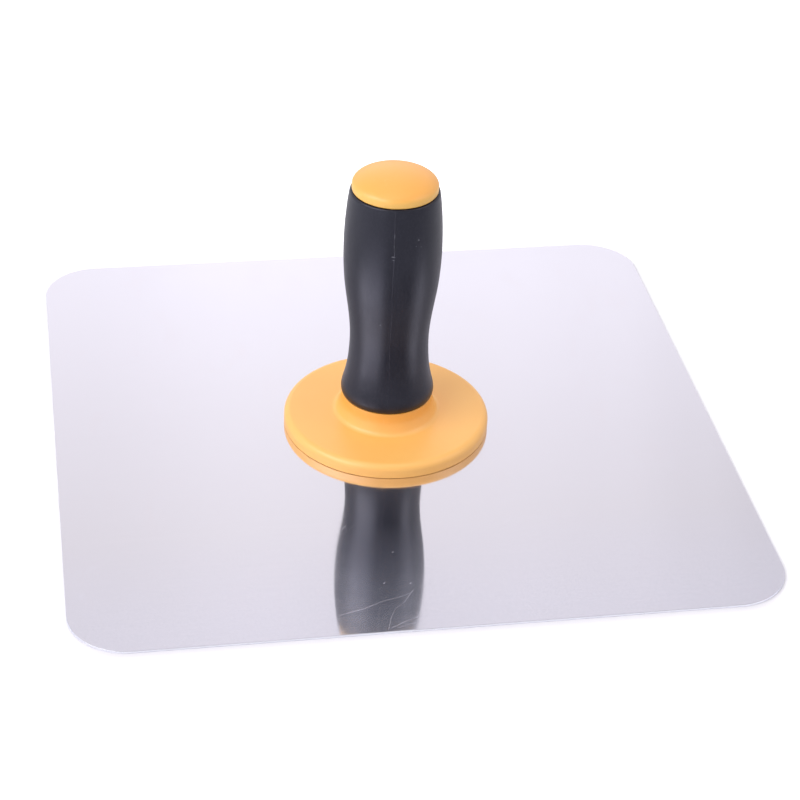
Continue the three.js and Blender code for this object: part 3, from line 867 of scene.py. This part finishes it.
# ------------------------------------------------------------------ grip
# Grip tables hold radius and height above the sheet.
GRIP_FOOT = [(15.0, 16.75), (15.15, 16.6), (18.6, 16.6), (20.0, 16.62), (20.28, 16.72),
             (20.55, 17.05), (20.78, 17.7), (20.9, 18.5)]
GRIP_SIDE = [
    (20.92, 19.4), (20.62, 21.4), (19.9, 24.2), (19.1, 27.8), (18.35, 32.4), (17.9, 37.5),
    (17.64, 43.0), (17.68, 48.3), (18.1, 54.3), (18.85, 60.6), (19.8, 67.3), (20.66, 73.9),
    (21.2, 80.5), (21.5, 87.2), (21.55, 93.5), (21.4, 99.5), (21.1, 105.0), (20.7, 109.8),
    (20.15, 115.0), (19.72, 118.0)]
GRIP_CROWN = [(19.62, 118.6), (19.48, 119.05), (19.28, 119.33), (19.05, 119.45),
              (18.8, 119.48), (18.6, 119.48), (17.2, 119.48), (15.2, 119.48)]
GRIP_BORE = [(15.0, 119.35), (15.0, 80.0), (15.0, 45.0)]
# angle in degrees, height above the sheet, half width round the girth, half height, depth
GRIP_NICKS = (
    (-99.6, 98.0, 1.1, 0.42, 0.34), (-69.0, 105.0, 0.5, 0.6, 0.30), (-78.0, 101.0, 0.3, 0.9, 0.08),
    (-113.0, 62.0, 0.35, 0.5, 0.08), (-40.0, 71.0, 0.8, 0.3, 0.10), (95.0, 88.0, 0.6, 0.35, 0.14),
    (160.0, 103.0, 0.4, 0.6, 0.12))
# the two mould lines: angle, flash height
MOULD_LINES = ((PARTING, 0.22), (PARTING + math.pi, 0.16))


def above_sheet(points):
    return [(r, SHEET + z) for r, z in points]


def grip_columns():
    """Even angles, with a bunch at each of the two mould lines."""
    angles = list(even_angles(288, PARTING + math.pi / 288))
    for line, _ in MOULD_LINES:
        for d in (-0.52, -0.34, -0.18, -0.07, 0.07, 0.18, 0.34, 0.52):
            angles.append(line + d / 20.0)
    return np.array(sorted(((a - PARTING + 1.0) % TAU) + PARTING - 1.0 for a in angles))


def mould_flash(angles, r, z):
    """A fine raised flash with a slight step from one mould half to the other."""
    wave = (0.72 + 0.40 * math.sin(z * 0.9) * math.sin(z * 0.23)
            + 0.28 * math.sin(z * 0.31 + 1.0) + 0.45 * clamp01((z - 95.0) / 12.0))
    # fainter on the lower part of the grip
    wave *= 0.17 + 0.83 * clamp01((z - 86.0) / 14.0)
    sway = 0.10 * math.sin(z * 0.21) + 0.06 * math.sin(z * 0.67 + 2.0)
    out = 0.0
    for line, height in MOULD_LINES:
        d = wrap_angle(angles - line) * r
        out += height * wave * np.exp(-((d - sway) / 0.17) ** 2)
        out += 0.02 * np.tanh((d - sway) / 0.15) * np.exp(-(d / 3.0) ** 2)
    return out


def grip_nicks(angles, r, z):
    """Small dents, each with a raised lip."""
    out = 0.0
    for degrees, height, half_width, half_height, depth in GRIP_NICKS:
        d = wrap_angle(angles - math.radians(degrees)) * r
        q = (d / half_width) ** 2 + ((z - SHEET - height) / half_height) ** 2
        out += -depth * np.exp(-q) + 0.35 * depth * np.exp(-((q - 1.9) / 0.8) ** 2)
    return out


def build_grip():
    angles = grip_columns()
    profile = (above_sheet(GRIP_FOOT) + spline(above_sheet(GRIP_SIDE), 150)
               + above_sheet(GRIP_CROWN + GRIP_BORE))

    def place(r, z):
        if r < 17.5:
            return r, z
        # the relief fades out at both ends of the grip
        fade = clamp01((z - (SHEET + 17.2)) / 2.0) * clamp01((SHEET + 119.2 - z) / 1.6)
        # a moulded part is never perfectly round
        uneven = (0.035 * np.sin(2 * angles + 0.6 + z * 0.02)
                  + 0.02 * np.sin(3 * angles - 0.9 + z * 0.05))
        relief = mould_flash(angles, r, z) + grip_nicks(angles, r, z) + uneven
        return r + relief * fade, z

    return new_object("hawk_grip", *turned(profile, angles, place), sharp=60)


# ------------------------------------------------------------------ end cap
CAP_SKIRT_OUTER, CAP_SKIRT_INNER = 11.7, 9.9
CAP_SLOT_TOP = 118.2
# side wall, seat on the grip's top face, then down and up the skirt with its outer bead:
# r, z, corner radius
CAP_OUTLINE = (
    (18.83, SHEET + 121.5), (18.78, SHEET + 120.3), (18.62, SHEET + 119.72, 0.3),
    (15.7, SHEET + 119.72, 0.2), (15.4, SHEET + 120.1, 0.1),
    (CAP_SKIRT_OUTER, SHEET + 120.1, 0.2), (CAP_SKIRT_OUTER, 113.0, 0.1), (12.3, 112.1, 0.15),
    (12.3, 111.2, 0.15), (11.4, 109.6, 0.1), (CAP_SKIRT_INNER, 109.6, 0.1),
    (CAP_SKIRT_INNER, 122.0, 0.8), (0.0, 122.8))


def build_cap():
    """Domed cap whose skirt is cut by four slots."""
    slots = [math.pi / 4 + i * math.pi / 2 for i in range(4)]
    slot_r = 11.0                  # radius at which widths across a slot are measured
    angles = list(even_angles(192))
    for s in slots:
        angles = [a for a in angles if abs(wrap_angle(a - s) * slot_r) > 1.3]
        angles += [s + d / slot_r for d in (-0.83, -0.80, -0.4, 0.0, 0.4, 0.80, 0.83)]
    angles = np.array(sorted(a % TAU for a in angles))
    in_slot = np.any([np.abs(wrap_angle(angles - s) * slot_r) < 0.81 for s in slots], axis=0)
    # an elliptical dome over a short side wall
    wall_r, wall_z, rise, dome_rings = 18.82, SHEET + 121.85, 6.15, 45
    profile = []
    for i in range(dome_rings + 1):
        t = math.pi / 2 * (i / dome_rings)
        profile.append((wall_r * math.sin(t), wall_z + rise * max(0.0, math.cos(t)) ** 0.96))
    profile += support(rounded(CAP_OUTLINE, closed=False))

    def place(r, z):
        """Lifts the skirt to the top of each slot."""
        if not (9.0 < r < 12.5 and z < CAP_SLOT_TOP):
            return r, z
        wall = CAP_SKIRT_OUTER if r > 11.0 else CAP_SKIRT_INNER
        return np.where(in_slot, wall, r), np.where(in_slot, CAP_SLOT_TOP, z)

    return new_object("hawk_end_cap", *turned(profile, angles, place, wrap=False), sharp=45)


# ------------------------------------------------------------------ all the pieces
SHEET_METAL, BLACK = sheet_metal(), soft_black()
# Painted light: the flange's copy of the yellow plastic is painted lighter and paler than the
# cap's copy, standing in for light the flange misses in the handle's shade and far from the lamps.
YELLOW_FLANGE = moulded_yellow("yellow_flange", low=(0.965, 0.490, 0.114),
                               high=(0.990, 0.533, 0.141), collar_shade=1.0)
YELLOW_CAP = moulded_yellow("yellow_cap", low=(0.910, 0.415, 0.070),
                            high=(0.952, 0.459, 0.090), lip=1.0)
GASKET, ZINC, BRASS = gasket_rubber(), zinc_plate(), machined_brass()

# builder, material, body it rides, slot, frame piece it replaces
PIECES = (
    (build_plate, SHEET_METAL, "plate", "sheet_metal", "blade_plate"),
    (build_stud, ZINC, "plate", "zinc_steel", "stud_screw"),
    (build_disc, ZINC, "plate", "zinc_steel", "backing_disc"),
    (build_split_washer, ZINC, "plate", "zinc_steel", "spring_washer"),
    (build_nut, ZINC, "plate", "zinc_steel", "lock_nut"),
    (build_gasket, GASKET, "gasket", "gasket_rubber", "flange_gasket"),
    (build_core, YELLOW_FLANGE, "handle", "yellow_plastic", "handle_core"),
    (build_insert, BRASS, "handle", "insert_brass", "threaded_insert"),
    (build_grip, BLACK, "handle", "black_grip", "grip_sleeve"),
    (build_cap, YELLOW_CAP, "handle", "yellow_plastic", "end_cap"))

for build, material, body, slot_name, node in PIECES:
    piece = build()
    piece.data.materials.append(material)
    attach(piece, body)
    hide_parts(node)


# ------------------------------------------------------------------ floor
def floor_material():
    """Near-white floor, shaded by its distance from the plate. The camera sees one tone;
    other rays meet another, with a glow round the plate."""
    material = bpy.data.materials.new("floor")
    material.use_nodes = True
    k = Nodes(material.node_tree)
    bsdf = k.tree.nodes["Principled BSDF"]
    seen = k.new("LightPath").outputs["Is Camera Ray"]
    x, y, _ = k.split_position("Object")

    # how far a floor point lies outside the plate's square
    flat, radius = (HALF - CORNER) * MM, CORNER * MM
    over_x, over_y = (k.math("MAXIMUM", k.math("SUBTRACT", k.math("ABSOLUTE", v), flat), 0.0)
                      for v in (x, y))
    from_corner = k.math("SQRT", k.math("ADD", k.mul(over_x, over_x), k.mul(over_y, over_y)))
    gap = k.math("SUBTRACT", from_corner, radius)
    # the same distance, counted sixfold except near the front edge
    forward = k.mul(y, -1.0)
    away = k.mul(gap, k.span(forward, over=(flat, flat + radius), to=(6.0, 1.0)))

    # the floor bounces more light at the back and at the left
    back = k.math("MAXIMUM", k.span(y, over=(-0.20, 0.25)),
                  k.span(x, over=(-0.10, -0.34), to=(0.0, 0.95)))
    bounce = k.mix(back, (0.52, 0.52, 0.54), (0.88, 0.88, 0.90))
    near = k.mix(k.span(away, over=(0.0, 0.005)), (0.80, 0.785, 0.81), (0.92, 0.92, 0.93))
    lit = k.math("ADD", k.span(away, over=(0.0015, 0.012), to=(0.0, 0.075)),
                 k.span(away, over=(0.010, 0.05), to=(0.0, 0.45)))
    rim = k.span(away, over=(0.0, 0.030), to=(0.62, 0.0))
    glow = k.math("ADD", k.mul(seen, lit), k.mul(k.math("SUBTRACT", 1.0, seen), rim))
    for key, value in (("Roughness", 0.9), ("Specular IOR Level", 0.1),
                       ("Emission Color", (0.98, 0.98, 1.0, 1)), ("Emission Strength", glow),
                       ("Base Color", k.mix(seen, bounce, near))):
        k.put(bsdf, key, value)

    # one-sided and open under the plate, so the working face can be looked at from below
    backfacing = k.new("NewGeometry").outputs["Backfacing"]
    hole = k.math("MAXIMUM", backfacing, k.math("LESS_THAN", gap, -0.0012))
    cut = k.new("MixShader")
    k.put(cut, 0, hole)
    k.put(cut, 1, bsdf.outputs[0])
    k.put(cut, 2, k.new("BsdfTransparent").outputs[0])
    k.put(k.tree.nodes["Material Output"], 0, cut.outputs[0])
    return material


def build_floor():
    half, drop = 14.0, 0.0002
    mesh = bpy.data.meshes.new("floor")
    mesh.from_pydata([(-half, -half, 0), (half, -half, 0), (half, half, 0), (-half, half, 0)],
                     [], [(0, 1, 2, 3)])
    floor = bpy.data.objects.new("floor", mesh)
    bpy.context.scene.collection.objects.link(floor)
    floor.location.z = -drop
    mesh.materials.append(floor_material())


# ------------------------------------------------------------------ world
# Brightness ramps over the direction's x, y or z: (position, value)
BY_HEIGHT = [(-0.2, 0.80), (0.12, 0.84), (0.30, 0.95), (0.45, 1.06), (0.50, 1.105), (0.53, 1.03),
             (0.565, 0.945), (0.60, 0.885), (0.63, 0.825), (0.70, 0.77), (0.80, 0.82), (1.0, 0.80)]
ACROSS = [(-1.0, 0.80), (-0.50, 0.70), (-0.18, 0.79), (0.01, 0.93), (0.09, 1.0), (0.20, 0.95),
          (0.25, 0.91), (0.285, 0.845), (0.315, 0.775), (0.42, 0.75), (1.0, 0.84)]
# a darker band in front: over y, z and x
DARK_FRONT = [(-1.0, 1.0), (-0.60, 1.0), (0.10, 0.0), (1.0, 0.0)]
DARK_BAND = [(-1.0, 0.0), (0.20, 0.0), (0.42, 1.0), (0.58, 1.0), (0.80, 0.0), (1.0, 0.0)]
DARK_FLANK = [(-1.0, 0.0), (-0.86, 0.0), (-0.55, 1.0), (0.62, 1.0), (0.90, 0.2), (1.0, 0.2)]
# a bright panel low behind the object: over y and z
PANEL_BEHIND = [(-1.0, 0.0), (0.68, 0.0), (0.86, 1.0), (1.0, 1.0)]
PANEL_LOW = [(-1.0, 0.0), (0.10, 0.0), (0.17, 1.0), (0.38, 1.0), (0.44, 0.0), (1.0, 0.0)]
# a taller panel at the far left: over x and z
LEFT_SIDE = [(-1.0, 1.0), (-0.84, 1.0), (-0.62, 0.0), (1.0, 0.0)]
LEFT_BAND = [(-1.0, 0.0), (0.16, 0.0), (0.32, 1.0), (0.72, 1.0), (0.88, 0.0), (1.0, 0.0)]
# share of the upper tint: over z
TINT_UP = [(-1.0, 0.0), (0.48, 0.0), (0.63, 1.0), (0.80, 0.6), (1.0, 0.4)]


def grey_ramp(k, source, stops):
    lo, hi = stops[0][0], stops[-1][0]
    n = k.new("ValToRGB")
    k.put(n, 0, k.span(source, over=(lo, hi)))
    n.color_ramp.interpolation = "EASE"
    elements = n.color_ramp.elements
    while len(elements) > 1:
        elements.remove(elements[-1])
    for i, (position, value) in enumerate(stops):
        share = (position - lo) / (hi - lo)
        element = elements[0] if i == 0 else elements.new(share)
        element.position = share
        element.color = (value, value, value, 1)
    return n.outputs[0]


def build_world():
    """Studio surroundings for light and reflections; the camera itself sees plain white."""
    world = bpy.data.worlds.new("studio")
    bpy.context.scene.world = world
    world.use_nodes = True
    k = Nodes(world.node_tree)
    k.tree.nodes.clear()
    x, y, z = k.split_position("Generated")

    def product(*ramps):
        return k.fold("MULTIPLY", [grey_ramp(k, source, stops) for source, stops in ramps])

    shade = product((y, DARK_FRONT), (z, DARK_BAND), (x, DARK_FLANK))
    panel = product((y, PANEL_BEHIND), (z, PANEL_LOW))
    left = product((x, LEFT_SIDE), (z, LEFT_BAND))
    dark = k.span(shade, over=(0.0, 1.0), to=(1.0, 0.22))
    left_strength = 0.34
    panels = k.math("MULTIPLY_ADD", left, left_strength, panel)
    bright = k.span(panels, over=(0.0, 1.0), to=(1.0, 2.0))
    lower_tint, upper_tint = (1.005, 0.985, 1.055), (1.005, 0.972, 1.012)
    tint = k.mix(grey_ramp(k, z, TINT_UP), lower_tint, upper_tint)
    colour = grey_ramp(k, z, BY_HEIGHT)
    for layer in (grey_ramp(k, x, ACROSS), dark, bright, tint):
        colour = k.mix(1.0, colour, layer, blend="MULTIPLY")

    mix = k.new("MixShader")
    k.put(mix, 0, k.new("LightPath").outputs["Is Camera Ray"])
    for i, shown in ((1, colour), (2, (1.0, 1.0, 1.0))):
        background = k.new("Background")
        k.put(background, 0, rgba(shown))
        k.put(background, 1, 1.0)
        k.put(mix, i, background.outputs[0])
    k.put(k.new("OutputWorld"), 0, mix.outputs[0])


# ------------------------------------------------------------------ lights and camera
def area_light(name, location, width, depth, power, colour):
    """Rectangular light aimed just above the middle of the plate."""
    light = bpy.data.lights.new(name, "AREA")
    light.energy = power
    light.color = colour
    light.shape = "RECTANGLE"
    light.size = width
    light.size_y = depth
    ob = bpy.data.objects.new(name, light)
    bpy.context.scene.collection.objects.link(ob)
    ob.location = location
    aim = Vector((0, 0, 0.05)) - Vector(location)
    ob.rotation_euler = aim.to_track_quat("-Z", "Y").to_euler()
    return ob


def build_lights():
    area_light("key_left", location=(-2.32, -1.26, 1.95), width=3.1, depth=1.8, power=66.0,
               colour=(0.985, 0.98, 1.0))
    area_light("fill_right", location=(2.17, -1.01, 1.76), width=1.25, depth=1.15, power=10.0,
               colour=(0.98, 0.98, 1.0))
    top = area_light("key_top", location=(-0.30, -0.20, 2.85), width=1.7, depth=1.7, power=14.0,
                     colour=(1.0, 0.99, 0.98))
    top.visible_glossy = False


def build_camera():
    camera = bpy.data.cameras.new("camera")
    camera.sensor_width = 36.0
    camera.lens = 99.4
    camera.clip_start, camera.clip_end = 0.01, 100.0
    camera.shift_x = -0.00175
    ob = bpy.data.objects.new("camera", camera)
    bpy.context.scene.collection.objects.link(ob)
    # columns: the camera's right, its up, its backward direction, its place
    ob.matrix_world = Matrix((
        (0.9858214, 0.05887032, -0.15713194, -0.15156),
        (-0.16328791, 0.55222158, -0.81755024, -0.82459),
        (0.0386422, 0.83161627, 0.55400466, 0.56901 + SHEET * MM),
        (0, 0, 0, 1)))
    bpy.context.scene.camera = ob


build_floor()
build_world()
build_lights()
build_camera()
bpy.context.scene.view_settings.view_transform = "Standard"
bpy.context.scene.view_settings.look = "None"
